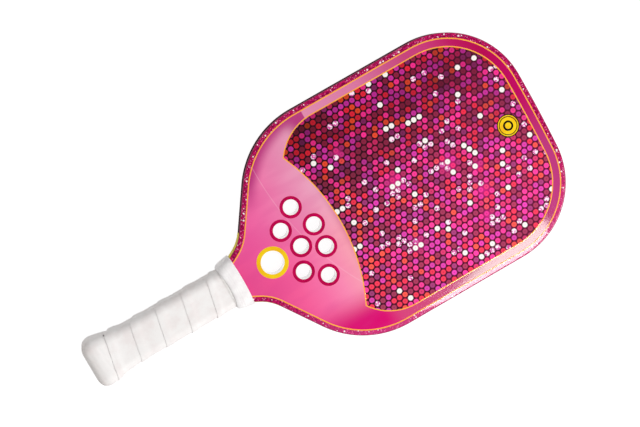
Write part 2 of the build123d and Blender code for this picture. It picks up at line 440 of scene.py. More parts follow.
def makeGlitterMaterial():
    look = glitterFinish
    material, tree, shader = newMaterial("glitterFilm", filmFinish["roughness"], filmFinish["specular"])
    spot, _, y, z = places(tree)
    cloud = between(tree, noiseOf(tree, spot, look["cloudScale"], 4.0, 0.75), *look["cloudEdges"])
    colour = mixed(tree, cloud, paint(look["deep"]), paint(look["base"]))
    # painted light: the band grows lighter towards the lower side
    lower = product(tree, between(tree, y, *look["lowerSides"]), look["lowerPaintedLight"])
    colour = mixed(tree, lower, colour, paint(look["lower"]))
    for kind in ("fleck", "spark"):
        dots = flecks(tree, spot, look[kind + "Pitch"], look[kind + "Share"], look[kind + "Size"])
        colour = mixed(tree, product(tree, dots, look[kind + "Strength"]), colour, paint(look[kind]))
    height = calc(tree, "ABSOLUTE", z)
    # painted shade: a darker crimson over the rounded edge
    colour = mixed(tree, between(tree, height, *look["shadedEdgeHeights"]), colour, paint(look["edge"]))
    # painted shade: darkest down the turned side
    side = between(tree, height, *look["shadedSideHeights"])
    colour = mixed(tree, side, colour, paint(look["side"]))
    turnedAway = {"Value": side, "To Min": filmFinish["roughness"], "To Max": look["sideRoughness"]}
    tree.links.new(node(tree, "MapRange", turnedAway).outputs[0], shader.inputs["Roughness"])
    tree.links.new(colour, shader.inputs["Base Color"])
    filmShine(tree, shader, spot)
    return material


def makePlainFilm(name, code, deeper):  # one printed colour, a little uneven
    material, tree, shader = newMaterial(name, filmFinish["roughness"], filmFinish["specular"])
    spot = places(tree)[0]
    share = between(tree, noiseOf(tree, spot, 0.12, 3.0), 0.35, 0.7)
    tree.links.new(mixed(tree, share, paint(code), paint(deeper)), shader.inputs["Base Color"])
    filmShine(tree, shader, spot)
    return material


glows = [(326.4, -2.3, 9.0), (342.8, -34.4, 8.0), (282.3, 6.4, 9.0), (253.5, 50.0, 5.0),
         (274.6, -46.1, 7.0), (335.8, -54.3, 6.0), (347.1, -15.1, 6.0)]  # bright spots: x, y and reach

sequinFinish = {
    "roughness": 0.6,
    "specular": 0.06,
    "spot": "#3A0A24",
    "spotShare": 0.32,
    "whiteSpot": "#B9B4B0",
    "whiteSpotShare": 0.35,
    "spotReach": (0.42, 0.1),  # as shares of the disc's radius
    "rim": "#4A0C2C",
    "rimReach": (0.72, 1.0),
    "rimShare": 0.45,
    "crackWhite": "#FFE6F4",
    "crackPink": "#D650A4",
    "crackScale": 0.85,
    "crackEdges": (0.35, 0.55),
    "ground": "#2A0414",
    # painted light: the ground between the discs grows lighter towards the lower right, where the soft
    # box's glow falls
    "groundPaintedLight": "#7A1844",
    "groundRun": (190.0, 470.0),  # of x less y
    "groundShare": 0.75,
    "groundPatch": "#24060F",
    "patchShare": 0.5,
    "groundGlow": "#D02482",
    "glowShare": 0.9,
    "glowSpread": 1.3,
}


def makeSequinMaterial():
    look = sequinFinish
    material, tree, shader = newMaterial("sequins", look["roughness"], look["specular"])
    spot = places(tree)[0]
    colour = node(tree, "Attribute", attribute_name="discColour").outputs["Color"]
    kind = attributeOf(tree, "discKind")
    reach = attributeOf(tree, "discReach")
    cells = node(tree, "TexVoronoi", {"Vector": spot, "Scale": look["crackScale"]})
    crack = node(tree, "SeparateColor", {0: cells.outputs["Color"]}).outputs[0]
    shard = mixed(tree, between(tree, crack, *look["crackEdges"]), paint(look["crackPink"]),
                  paint(look["crackWhite"]))
    colour = mixed(tree, calc(tree, "COMPARE", kind, 2.0), colour, shard)
    centre = between(tree, reach, *look["spotReach"])
    for number, name in enumerate(("spot", "whiteSpot")):
        share = product(tree, centre, calc(tree, "COMPARE", kind, number), look[name + "Share"])
        colour = mixed(tree, share, colour, paint(look[name]))
    rim = product(tree, between(tree, reach, *look["rimReach"]), look["rimShare"])
    colour = mixed(tree, rim, colour, paint(look["rim"]))
    tree.links.new(colour, shader.inputs["Base Color"])
    bumped(tree, shader, noiseOf(tree, spot, 2.0, 2.0), 0.004)
    return material


def makeGroundMaterial():
    look = sequinFinish
    material, tree, shader = newMaterial("sequinGround", look["roughness"], look["specular"])
    spot, x, y = places(tree)[:3]
    # painted light: lighter towards the lower right
    across = between(tree, calc(tree, "SUBTRACT", x, y), *look["groundRun"])
    colour = mixed(tree, product(tree, across, look["groundShare"]), paint(look["ground"]),
                   paint(look["groundPaintedLight"]))
    patch = product(tree, noiseOf(tree, spot, 0.06, 3.0), look["patchShare"])
    colour = mixed(tree, patch, colour, paint(look["groundPatch"]))
    glow = 0.0
    for glowX, glowY, reach in glows:
        away = planDistance(tree, x, y, (glowX, glowY))
        glow = calc(tree, "MAXIMUM", between(tree, away, look["glowSpread"] * reach, 0.0), glow)
    colour = mixed(tree, product(tree, glow, look["glowShare"]), colour, paint(look["groundGlow"]))
    tree.links.new(colour, shader.inputs["Base Color"])
    return material


film = makeFilmMaterial()
glitter = makeGlitterMaterial()
pinstripeFilm = makePlainFilm("pinstripeFilm", "#FFB648", "#FFA644")
crimsonFilm = makePlainFilm("crimsonFilm", "#C40450", "#B00246")
yellowFilm = makePlainFilm("yellowFilm", "#F7D21C", "#F2BC1A")
blackFilm = makePlainFilm("blackFilm", "#15120A", "#241C10")
sequin = makeSequinMaterial()
sequinGround = makeGroundMaterial()
print("print materials made")


# Blade outline and the lines printed on it

filmLow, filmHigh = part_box("front_graphic_film")
blade = {
    "length": filmHigh.x / mm,
    "halfWidth": filmHigh.y / mm,
    "sheetTop": filmLow.z / mm,
    "filmTop": filmHigh.z / mm,
    "cornerRadius": 67.25,
    "crownRadius": 1200.0,
    "shoulderRadius": 75.5,
    "flankAngle": 56.0,
    "neckRadius": 34.0,
    "neckAngle": 28.0,
    "neckRun": 4.1,
    "neckHalfWidth": 20.2,
    "mouth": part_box("grip_collar")[1].x / mm,
    "tuck": 4.3,  # how far the print runs under the collar
}
crownX = blade["length"] - blade["crownRadius"]
cornerY = blade["halfWidth"] - blade["cornerRadius"]
cornerX = crownX + math.sqrt((blade["crownRadius"] - blade["cornerRadius"]) ** 2 - cornerY ** 2)
crownTurn = math.degrees(math.atan2(cornerY, cornerX - crownX))


def bladeRun():  # from the collar along the upper side, round the tip and back
    steep = math.radians(blade["flankAngle"])
    shallow = math.radians(blade["neckAngle"])
    neck = blade["neckRadius"]
    shoulder = blade["shoulderRadius"]
    start = Vector((blade["mouth"] - blade["tuck"],
                    blade["neckHalfWidth"] - blade["tuck"] * math.tan(shallow)))
    neckX = blade["mouth"] + blade["neckRun"]
    neckY = blade["neckHalfWidth"] + blade["neckRun"] * math.tan(shallow)
    hollowX = neckX - neck * math.sin(shallow)
    hollowY = neckY + neck * math.cos(shallow)
    flankX = hollowX + neck * math.sin(steep)
    flankY = hollowY - neck * math.cos(steep)
    shoulderY = blade["halfWidth"] - shoulder * (1 - math.cos(steep))
    shoulderX = flankX + (shoulderY - flankY) / math.tan(steep)
    sideX = shoulderX + shoulder * math.sin(steep)
    upper = chained([
        [start],
        arc(hollowX, hollowY, neck, blade["neckAngle"] - 90, blade["flankAngle"] - 90),
        arc(sideX, blade["halfWidth"] - shoulder, shoulder, 90 + blade["flankAngle"], 90),
        arc(cornerX, cornerY, blade["cornerRadius"], 90, crownTurn),
    ])
    crown = arc(crownX, 0, blade["crownRadius"], crownTurn, -crownTurn, 0.2)[1:-1]
    lower = [Vector((p.x, -p.y)) for p in reversed(upper)]
    return upper + crown + lower


edgeRun = bladeRun()

panel = {
    "inset": 11.2,
    "cornerRadius": 44.0,
    "cornerX": 250.4,
    "throatCentre": 69.3,
    "throatRadius": 160.0,
}
panelY = blade["halfWidth"] - panel["inset"]


def cuspPlace():  # where the throat arc meets the throat-side corner arc
    centreY = panelY - panel["cornerRadius"]
    gapX = panel["cornerX"] - panel["throatCentre"]
    gap = math.hypot(gapX, centreY)
    near = (gap ** 2 + panel["throatRadius"] ** 2 - panel["cornerRadius"] ** 2) / (2 * gap)
    off = math.sqrt(panel["throatRadius"] ** 2 - near ** 2)
    alongX, alongY = gapX / gap, centreY / gap
    return Vector((panel["throatCentre"] + near * alongX - off * alongY, near * alongY + off * alongX))


def panelLoop():  # clockwise, so that inward is to the right
    cusp = cuspPlace()
    centreY = panelY - panel["cornerRadius"]
    turn = math.degrees(math.atan2(cusp.y - centreY, cusp.x - panel["cornerX"]))
    opening = math.degrees(math.atan2(cusp.y, cusp.x - panel["throatCentre"]))
    upper = chained([
        arc(panel["cornerX"], centreY, panel["cornerRadius"], turn, 90),
        arc(cornerX, cornerY, blade["cornerRadius"] - panel["inset"], 90, crownTurn),
    ])
    crown = arc(crownX, 0, blade["crownRadius"] - panel["inset"], crownTurn, -crownTurn, 0.2)[1:-1]
    lower = [Vector((p.x, -p.y)) for p in reversed(upper)]
    throat = arc(panel["throatCentre"], 0, panel["throatRadius"], -opening, opening)[1:-1]
    return upper + crown + lower + throat


def inPanel(x, y, margin=0.0):
    side = abs(y)
    if math.hypot(x - panel["throatCentre"], side) < panel["throatRadius"] + margin:
        return False
    if side > panelY - margin:
        return False
    centreY = panelY - panel["cornerRadius"]
    if x < panel["cornerX"] and side > centreY:
        return math.hypot(x - panel["cornerX"], side - centreY) < panel["cornerRadius"] - margin
    if x > cornerX and side > cornerY:
        reach = blade["cornerRadius"] - panel["inset"] - margin
        return math.hypot(x - cornerX, side - cornerY) < reach
    return math.hypot(x - crownX, side) < blade["crownRadius"] - panel["inset"] - margin


panelPath = panelLoop()

holes = {
    "large": (166.0, 0.0, 9.5, 12.9),
    "small": [(184.0, 18.8), (184.0, -18.8), (192.1, 0.0), (200.1, 31.2), (200.1, -31.2),
              (209.5, 10.1), (209.5, -10.1)],
    "smallRadius": 6.3,
    "smallRing": 8.95,
    "filmGap": 0.85,  # from a hole's edge to the edge of the print under its ring
}


def circle(x, y, radius, step=5.0):  # clockwise, with its last point left off
    return arc(x, y, radius, 360, 0, step)[:-1]


# Print on both faces

printLayout = {
    "bandWidth": 4.6,
    "outerStripe": 0.95,
    "innerStripe": 0.9,
    "stripeRise": 0.02,
    "stripeDepth": 0.05,  # how far a stripe goes down into the film
    "ringRise": 0.05,
    "ringDepth": 0.01,
    "edgeRound": 1.1,
    "wrapDown": 3.0,  # how far the film turns down over the edge
    "wrapThickness": 0.5,
    "wrapInside": 1.4,
    "badge": (384.6, 0.8, 9.3),
    "badgeRings": [(8.9, 0.8), (7.3, 0.7), (3.4, 1.6)],
    "badgeDepth": 0.05,
    "badgeRise": 0.04,
    "badgeRingRise": 0.06,
}


def stripeSection(width, low, high):
    half = width / 2
    return [(-half, low), (-half, high - 0.01), (0.12 - half, high), (half - 0.12, high),
            (half, high - 0.01), (half, low)]


def makeBand(face, label):  # glitter band, rounded down over the edge
    sheet, top = blade["sheetTop"], blade["filmTop"]
    rounding = printLayout["edgeRound"]
    turns = [math.radians(a) for a in range(0, 91, 15)]
    outer = [(rounding * (1 - math.sin(a)), top - rounding * (1 - math.cos(a))) for a in turns]
    hem = top - printLayout["wrapDown"]
    width = printLayout["bandWidth"]
    section = [(width, sheet), (width, top), *outer, (0.0, hem), (printLayout["wrapThickness"], hem),
               (printLayout["wrapInside"], sheet)]
    return sweepBand("glitter_band_" + label, edgeRun, section, False, glitter, face)


def makeStripes(face, label):
    top = blade["filmTop"]
    path = shifted(edgeRun, printLayout["bandWidth"], False)
    low, high = top - printLayout["stripeDepth"], top + printLayout["stripeRise"]
    section = stripeSection(printLayout["outerStripe"], low, high)
    sweepBand("outer_pinstripe_" + label, path, section, False, pinstripeFilm, face)
    section = stripeSection(printLayout["innerStripe"], low - 0.03, high)  # down to the sequins' ground
    sweepBand("inner_pinstripe_" + label, panelPath, section, True, pinstripeFilm, face)


def makeFace(face, label, cadNode):
    outer = shifted(edgeRun, printLayout["bandWidth"], False)
    x, y, radius = holes["large"][:3]
    loops = [outer, panelPath, circle(x, y, radius + holes["filmGap"])]
    loops += [circle(x, y, holes["smallRadius"] + holes["filmGap"]) for x, y in holes["small"]]
    piece = flatPiece("face_print_" + label, loops, blade["sheetTop"], blade["filmTop"], film,
                      face)
    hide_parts(cadNode)


def makeRings(face, label):
    top = blade["filmTop"]
    spots = [(*holes["large"], yellowFilm)]
    spots += [(x, y, holes["smallRadius"], holes["smallRing"], crimsonFilm) for x, y in holes["small"]]
    for number, (x, y, radius, ring, material) in enumerate(spots):
        middle = (radius + ring) / 2
        section = stripeSection(ring - radius, top - printLayout["ringDepth"],
                                top + printLayout["ringRise"])
        name = f"hole_ring_{label}_{number}"
        sweepBand(name, circle(x, y, middle), section, True, material, face)


def makeBadge(face, label):  # a plain disc in place of the maker's mark
    x, y, radius = printLayout["badge"]
    top = blade["filmTop"]
    low = top - printLayout["badgeDepth"]
    flatPiece("plain_disc_" + label, [circle(x, y, radius)], low, top + printLayout["badgeRise"],
              yellowFilm, face)
    for number, (reach, width) in enumerate(printLayout["badgeRings"]):
        section = stripeSection(width, low, top + printLayout["badgeRingRise"])
        sweepBand(f"plain_disc_ring_{label}_{number}", circle(x, y, reach), section, True, blackFilm,
                  face)


# Sequins, each one a low round disc

sequins = {
    "pitch": 5.11,
    "rowStep": 4.76,
    "radius": 2.3,
    "sides": 12,
    "groundTop": 7.04,
    "discTop": 7.085,
    "seed": 41,
    "whiteShare": 0.03,
    "crackedShare": 0.065,
    "tones": [("#B82890", 20), ("#E02880", 17), ("#CC1C2E", 16), ("#D04018", 8), ("#7C1A34", 18),
              ("#782058", 8), ("#B21C50", 13)],
    "white": "#FBF6F2",
    "glow": "#F5308F",
    # painted light: a pale wash over the lower discs, for the soft box's glow on the panel
    "paintedSheen": "#FF9ACB",
    "firstX": 210.0,
    "centreX": 300.0,  # cut discs are drawn from a point on the side towards this
    "patchPitch": 0.045,
    "glowWhite": (0.45, 0.55),  # the glow at which more discs turn white, and by how much of it
    "crackedLevels": (0.35, 1.3),
    "glowCracked": 0.12,
    "margin": 0.2,
    "lift": 0.012,
    "flat": 0.8,  # share of the radius that is level, before the rim slopes down
    "rimDrop": 0.015,
    "sunk": 0.03,
    "acrossRun": (170.0, 300.0),  # of x less y: where the panel starts to turn pink, and over how far
    # lowerRun with light's lower value makes the lower discs lighter: painted light
    "lowerRun": (60.0, 90.0),
    "middle": (310.0, 40.0),
    "light": {"all": 0.84, "lower": 0.74, "middle": 0.12, "patchy": 0.5, "tilt": 0.3, "least": 0.3},
    "share": {"across": 0.1, "glow": 0.75, "most": 0.85, "paintedSheen": 0.09},
}


def discTone(x, y, chance):  # colour and kind of one disc, by its place and by chance
    light, share = sequins["light"], sequins["share"]
    start, run = sequins["acrossRun"]
    across = min(1.0, max(0.0, (x - y - start) / run))
    patchy = noise.noise(Vector((x, y, 7.0)) * sequins["patchPitch"])
    glow = sum(math.exp(-((x - gx) ** 2 + (y - gy) ** 2) / (reach ** 2)) for gx, gy, reach in glows)
    pick = chance.random()
    tilt = chance.random()
    codes = [code for code, weight in sequins["tones"]]
    weights = [weight for code, weight in sequins["tones"]]
    code = chance.choices(codes, weights)[0]
    least, gain = sequins["glowWhite"]
    if pick < sequins["whiteShare"] + gain * max(0.0, glow - least):
        return Vector(paint(sequins["white"])[:3]), 1.0
    least, gain = sequins["crackedLevels"]
    cracked = sequins["crackedShare"] * (least + gain * across)
    if pick > 1 - cracked - sequins["glowCracked"] * min(1.0, glow):
        return Vector(paint(sequins["white"])[:3]), 2.0
    colour = Vector(paint(code)[:3])
    # painted light: discs lighter and paler towards the lower side
    start, run = sequins["lowerRun"]
    lower = min(1.0, max(0.0, (start - y) / run))
    start, run = sequins["middle"]
    middle = math.exp(-((x - start) / run) ** 2)
    level = (light["all"] + light["lower"] * lower + light["middle"] * middle + light["patchy"] * patchy
             + light["tilt"] * (tilt - 0.5))
    colour = colour * max(light["least"], level)
    colour = colour.lerp(Vector(paint(sequins["paintedSheen"])[:3]), share["paintedSheen"] * lower)
    pink = min(share["most"], share["across"] * across + share["glow"] * min(1.0, glow))
    return colour.lerp(Vector(paint(sequins["glow"])[:3]), pink), 0.0


def discHub(x, y):  # a point of the disc that lies inside the panel, or None
    if inPanel(x, y, sequins["margin"]):
        return Vector((x, y))
    middle = Vector((sequins["centreX"], 0.0))
    step = (middle - Vector((x, y))).normalized() * sequins["radius"] * 0.7
    hub = Vector((x, y)) + step
    return hub if inPanel(hub.x, hub.y, sequins["margin"]) else None


def discRim(x, y, hub):  # the disc's outline, cut where the panel ends
    rim = []
    for i in range(sequins["sides"]):
        turn = 2 * math.pi * (i + 0.5) / sequins["sides"]
        far = Vector((x + sequins["radius"] * math.cos(turn), y + sequins["radius"] * math.sin(turn)))
        if not inPanel(far.x, far.y):
            near, share = 0.0, 1.0
            for _ in range(12):
                half = (near + share) / 2
                spot = hub.lerp(far, half)
                if inPanel(spot.x, spot.y):
                    near = half
                else:
                    share = half
            far = hub.lerp(far, near)
        rim.append(far)
    return rim


def makeSequins(face, label):
    chance = random.Random(sequins["seed"] + face)
    sides = sequins["sides"]
    points, faces, colours, kinds, reaches = [], [], [], [], []
    rows = int(panelY / sequins["rowStep"]) + 1
    columns = int((blade["length"] - sequins["firstX"]) / sequins["pitch"]) + 1
    for row in range(-rows, rows + 1):
        for column in range(columns):
            x = sequins["firstX"] + sequins["pitch"] * (column + 0.5 * (row % 2))
            y = sequins["rowStep"] * row
            colour, kind = discTone(x, y, chance)
            hub = discHub(x, y)
            if hub is None:
                continue
            rim = discRim(x, y, hub)
            first = len(points)
            top = sequins["discTop"] + sequins["lift"] * chance.random()
            levels = [(0.0, top), (sequins["flat"], top), (1.0, sequins["discTop"] - sequins["rimDrop"]),
                      (1.0, sequins["groundTop"] - sequins["sunk"])]
            points.append(Vector((hub.x, hub.y, face * levels[0][1])))
            reaches.append((hub - Vector((x, y))).length / sequins["radius"])
            for share, height in levels[1:]:
                for p in rim:
                    spot = hub.lerp(p, share)
                    points.append(Vector((spot.x, spot.y, face * height)))
                    reaches.append((spot - Vector((x, y))).length / sequins["radius"])
            for j in range(sides):
                k = (j + 1) % sides
                faces.append((first, first + 1 + j, first + 1 + k))
                for ring in range(2):
                    inner = first + 1 + ring * sides
                    outer = inner + sides
                    faces.append((inner + j, outer + j, outer + k, inner + k))
            faces.append(tuple(first + 1 + 2 * sides + j for j in reversed(range(sides))))
            count = len(points) - first
            colours += [(*colour, 1.0)] * count
            kinds += [kind] * count
    mesh = bpy.data.meshes.new("sequins_" + label)
    mesh.from_pydata([p * mm for p in points], [], faces)
    cleanMesh(mesh)
    piece = addPiece("sequins_" + label, mesh, sequin)
    layer = mesh.attributes.new("discColour", "FLOAT_COLOR", "POINT")
    layer.data.foreach_set("color", [c for colour in colours for c in colour])
    setValues(piece, "discKind", kinds)
    setValues(piece, "discReach", reaches)
    flatPiece("sequin_ground_" + label, [panelPath], blade["sheetTop"], sequins["groundTop"],
              sequinGround, face)
    return piece


for face, label in ((1, "front"), (-1, "back")):
    makeBand(face, label)
    makeStripes(face, label)
    makeFace(face, label, label + "_graphic_film")
    makeRings(face, label)
    makeBadge(face, label)
    makeSequins(face, label)
    print("print laid on the " + label)


# Black strip round the edge

edgeStrip = {
    "start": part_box("edge_strip")[0].x / mm,
    "depth": 1.6,
    "recess": 0.46,  # behind the hem of the print
    "round": 0.35,
    "joint": 300.0,  # somewhere on the straight sides, past all the curves of the throat
    "proud": 0.12,  # how far the neck strips stand out
    "neckGap": 0.7,  # from the top of the print down to the neck strips
    "neckChamfer": 0.3,
}


rubberFinish = {
    "roughness": 0.6,
    "patchScale": 0.4,
    "patchEdges": (0.4, 0.7),
    "grainScale": 1.2,
    "grainDepth": 0.02,
}
edgeRubber = {**rubberFinish, "colours": ("#0E0A0D", "#191216"), "specular": 0.02}
neckRubber = {**rubberFinish, "colours": ("#EFDA1E", "#D9C018")}


def edgePart(start, end):  # the upper side's outline between two places along the paddle
    upper = edgeRun[:len(edgeRun) // 2]
    part = [p for p in upper if start + 0.1 < p.x < end - 0.1]
    ends = []
    for x in (start, end):
        index = next(i for i, p in enumerate(upper) if p.x > x)
        before, after = upper[index - 1], upper[index]
        ends.append(before.lerp(after, (x - before.x) / (after.x - before.x)))
    return [ends[0], *part, ends[1]]


def makeEdgeStrip():
    rubber = makeMottled("edgeRubber", edgeRubber)
    upper = edgePart(edgeStrip["start"], edgeStrip["joint"])[:-1]
    crown = [p for p in edgeRun if p.x >= edgeStrip["joint"]]
    run = upper + crown + [Vector((p.x, -p.y)) for p in reversed(upper)]
    hem = blade["filmTop"] - printLayout["wrapDown"]
    depth, recess = edgeStrip["depth"], edgeStrip["recess"]
    section = [(depth, hem + 0.3), (recess + 0.2, hem + 0.1), (recess + 0.02, hem - edgeStrip["round"])]
    section += [(recess, 0.0)] + [(inset, -height) for inset, height in reversed(section)]
    piece = sweepBand("edge_rubber", run, section, False, rubber)
    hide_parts("edge_strip")


def makeNeckStrips():
    yellow = makeMottled("yellowRubber", neckRubber)
    proud, top = edgeStrip["proud"], blade["filmTop"] - edgeStrip["neckGap"]
    section = [(edgeStrip["depth"], top), (0.1 - proud, top), (-proud, top - edgeStrip["neckChamfer"]),
               (-proud, 0.0)]
    section += [(inset, -height) for inset, height in reversed(section[:-1])]
    run = edgePart(blade["mouth"] - blade["tuck"] + 0.2, edgeStrip["start"] - 0.1)
    for label in ("left", "right"):
        piece = sweepBand("neck_rubber_" + label, run, section, False, yellow)
        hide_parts("neck_strip_" + label)
        run = [Vector((p.x, -p.y)) for p in reversed(run)]


makeEdgeStrip()
makeNeckStrips()
print("edge strip and neck strips made")


# Grip: section of the handle and the tape wound round it

grip = {
    "halfWidth": 16.7,
    "halfThickness": 14.0,
    "corner": 7.4,
    "flareWidth": 3.8,
    "flareThickness": 3.5,
    "flareCorner": 1.6,
    "flare": [(-2, 0.45), (4, 0.72), (9, 1.0), (15, 0.82), (22, 0.42), (30, 0.17), (40, 0.0), (60, 0.0)],
    "endRound": 5.5,
    "endInset": 7.2,
    "endStart": 0.5,
    "seam": 23.6,
    "pitch": 23.1,
    "firstShift": 1.4,
    "firstSpread": 0.6,
    "seamSway": 0.25,
    "single": -0.28,  # where one layer of tape lies, against the section's surface
    "end": 128.5,
    "startTurn": -1.05,
    "stepsPerTurn": 120,
    "waviness": 0.13,
    "wavePitch": 0.09,
    "creaseRun": (48.0, 25.0),
    "creaseStart": (4.0, 6.0),
    "creaseShare": 0.9,
    "creaseAlong": 0.45,
    "creaseAside": 0.12,
    "creaseSlant": 0.1,
    "gaps": [(-0.068, 1.8, 0.022), (0.03, 0.42, 0.07), (1.935, 1.2, 0.018)],  # turn, size, spread
    "gapBack": 0.7,
    "gapDepth": 1.7,
    "gapLength": 1.1,
    "endBack": 1.5,  # where the last seam stands, before the end of the tape
    "startSunk": 0.5,
    "firstThicker": (0.5, 0.35),  # the first lap's extra height, and the turns over which it fades
    "crowd": (3.0, 0.6),  # from here to the butt the tape's section is pressed together
    "hidden": (0.6, 1.0, 3.0, 0.06),  # how the first turn dives under the tape: depth, gap, run, turns
    "firstThickness": 0.7,
    "firstExtra": 40,
    "rimStep": 9,
    "rimRuns": 39,
    "innerFrom": 1.2,
    "innerShare": 0.4,
}


def flareShare(x):
    stations = grip["flare"]
    if x >= stations[-2][0]:
        return 0.0
    index = max(i for i in range(len(stations) - 1) if stations[i][0] <= x)
    (x0, s0), (x1, s1) = stations[index], stations[index + 1]

    def slope(i):
        i = min(max(i, 1), len(stations) - 2)
        return (stations[i + 1][1] - stations[i - 1][1]) / (stations[i + 1][0] - stations[i - 1][0])

    t = (x - x0) / (x1 - x0)
    run = x1 - x0
    return ((2 * t ** 3 - 3 * t ** 2 + 1) * s0 + (t ** 3 - 2 * t ** 2 + t) * run * slope(index)
            + (3 * t ** 2 - 2 * t ** 3) * s1 + (t ** 3 - t ** 2) * run * slope(index + 1))


def roundedSection(halfY, halfZ, radius, turn):  # place and outward normal, by share of the way round
    straights = [halfZ - radius, 2 * (halfY - radius), 2 * (halfZ - radius), 2 * (halfY - radius),
                 halfZ - radius]
    bend = math.pi * radius / 2
    whole = sum(straights) + 4 * bend
    left = (turn % 1.0) * whole
    heading = 0
    spot = Vector((halfY, 0.0))
    for run in straights:
        ahead = Vector((-math.sin(heading * math.pi / 2), math.cos(heading * math.pi / 2)))
        outward = Vector((ahead.y, -ahead.x))
        if left <= run:
            return spot + ahead * left, outward
        left -= run
        spot = spot + ahead * run
        if left <= bend:
            angle = left / radius
            centre = spot - outward * radius
            normal = outward * math.cos(angle) + ahead * math.sin(angle)
            return centre + normal * radius, normal
        left -= bend
        spot = spot - outward * radius + ahead * radius
        heading += 1
    return Vector((halfY, 0.0)), Vector((1.0, 0.0))


def gripPoint(x, turn, lift):
    share = flareShare(x)
    inset = 0.0
    if x < grip["endRound"]:
        slope = min(1.0, (grip["endRound"] - x) / (grip["endRound"] - grip["endStart"]))
        inset = grip["endInset"] * (1 - math.sqrt(max(0.0, 1 - slope ** 2)))
    corner = grip["corner"] + grip["flareCorner"] * share
    place, normal = roundedSection(grip["halfWidth"] + grip["flareWidth"] * share,
                                   grip["halfThickness"] + grip["flareThickness"] * share, corner, turn)
    pitch, aside = grip["wavePitch"], grip["creaseAside"]
    wave = noise.noise(Vector((x * pitch, place.x * pitch, place.y * pitch)))
    slanted = x * grip["creaseAlong"] + place.x * grip["creaseSlant"]
    crease = noise.noise(Vector((slanted, place.x * aside, place.y * aside)))
    (far, fade), (near, rise) = grip["creaseRun"], grip["creaseStart"]
    creased = max(0.0, min(1.0, (far - x) / fade)) * min(1.0, max(0.0, x - near) / rise)
    lift = lift + grip["waviness"] * (wave + grip["creaseShare"] * creased * crease)
    spot = place + normal * (lift - inset)
    return Vector((x, spot.x, spot.y))


def seamPlace(turn):  # where the tape's edge lies; the first seam stands a little away from the butt
    away = grip["firstShift"] * math.exp(-(turn / grip["firstSpread"]) ** 2)
    return grip["seam"] + grip["pitch"] * turn + away


def slack(x, turn):  # depth of the slack spots, where the tape has pulled away from the base grip
    depth = 0.0
    for gapTurn, size, spread in grip["gaps"]:
        along = (x - seamPlace(gapTurn) + grip["gapBack"]) / grip["gapLength"]
        around = (turn - gapTurn) / spread
        depth += grip["gapDepth"] * size * math.exp(-along ** 2 - around ** 2)
    return depth


def smoothRise(value):
    value = min(1.0, max(0.0, value))
    return value * value * (3 - 2 * value)


# the tape's section, as (distance from its seam, height over a single layer)
tapeTop = [(0.15, -0.1), (0.0, 0.12), (0.04, 0.38), (0.22, 0.5), (0.6, 0.55), (1.6, 0.56), (3.2, 0.55),
           (5.0, 0.5), (6.4, 0.36), (7.8, 0.16), (9.5, 0.04), (12.0, 0.0), (15.0, 0.0), (18.0, 0.0),
           (20.3, 0.0), (21.2, 0.0), (21.9, 0.0), (22.5, -0.02), (23.0, -0.06), (23.7, -0.12)]
tapeUnder = [(23.7, -0.5), (18.0, -0.5), (12.0, -0.5), (5.0, -0.3), (0.5, -0.25)]
slackFrom = 18.0  # the slack spots are only in the tape's last part, beside the next seam
hemFrom = 22.3


gripFinish = {
    "light": "#F7F5F4",
    "patch": "#F1EBEA",
    # painted shade: grey along the tape's edges, where the laps step down
    "seam": "#A09A98",
    "seamShare": 0.05,
    # painted shade: darker and warmer towards the rounded butt end
    "turnedAway": "#D9CDC4",
    "buttShadeRun": (12.0, 0.0),
    "buttShadeShare": 0.25,
}


def makeGripMaterial():
    look = gripFinish
    material, tree, shader = newMaterial("overgripTape", 0.62, 0.35)
    spot, x = places(tree)[:2]
    mottle = between(tree, noiseOf(tree, spot, 0.09, 4.0, 0.6), 0.35, 0.7)
    colour = mixed(tree, mottle, paint(look["light"]), paint(look["patch"]))
    # painted shade along the tape's edges
    seam = product(tree, attributeOf(tree, "seamShade"), look["seamShare"])
    colour = mixed(tree, seam, colour, paint(look["seam"]))
    # painted shade towards the rounded butt end
    turnedAway = product(tree, between(tree, x, *look["buttShadeRun"]), look["buttShadeShare"])
    colour = mixed(tree, turnedAway, colour, paint(look["turnedAway"]))
    tree.links.new(colour, shader.inputs["Base Color"])
    grain = node(tree, "TexVoronoi", {"Vector": spot, "Scale": 1.6}).outputs["Distance"]
    fine = calc(tree, "ADD", product(tree, grain, 0.5), noiseOf(tree, spot, 1.4, 3.0))
    bumped(tree, shader, fine, 0.05, 0.6)
    return material


gripTape = makeGripMaterial()


def makeTape():
    rings, shades = [], []
    section = tapeTop + tapeUnder
    lastTurn = (grip["end"] - grip["endBack"] - grip["seam"]) / grip["pitch"]
    startTurn = grip["startTurn"]
    thicker, fade = grip["firstThicker"]
    crowdFrom, crowdShare = grip["crowd"]
    count = int((lastTurn - startTurn) * grip["stepsPerTurn"])
    for i in range(count + 1):
        turn = startTurn + (lastTurn - startTurn) * i / count
        edge = seamPlace(turn) + grip["seamSway"] * noise.noise(Vector((turn * 3.1, 2.0, 0.5)))
        squeeze = min(1.0, (grip["end"] - edge) / section[-6][0])
        rise = smoothRise((turn + 1.0) / 0.25)
        sunk = grip["startSunk"] * (1 - smoothRise((turn - startTurn) / 0.1))
        first = 1.0 + thicker * math.exp(-(turn / fade) ** 2)
        ring = []
        for t, level in section:
            x = edge + t * squeeze
            if x < crowdFrom:
                x = crowdFrom - (crowdFrom - x) * crowdShare
            lift = grip["single"] + (level * rise * first if level > 0 else level) - sunk
            if t > slackFrom:
                lift -= slack(x, turn + 1)
            ring.append(gripPoint(x, -turn, lift))
        rings.append(ring)
        # the tape's edges, marked for the painted shade of seamShade
        hems = [(t < 0.1 or t > hemFrom) and level > -0.4 for t, level in section]
        shades += [rise if hem else 0.0 for hem in hems]
    piece = skin("overgrip_tape", rings, False, gripTape)
    setValues(piece, "seamShade", shades)
    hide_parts("overgrip")


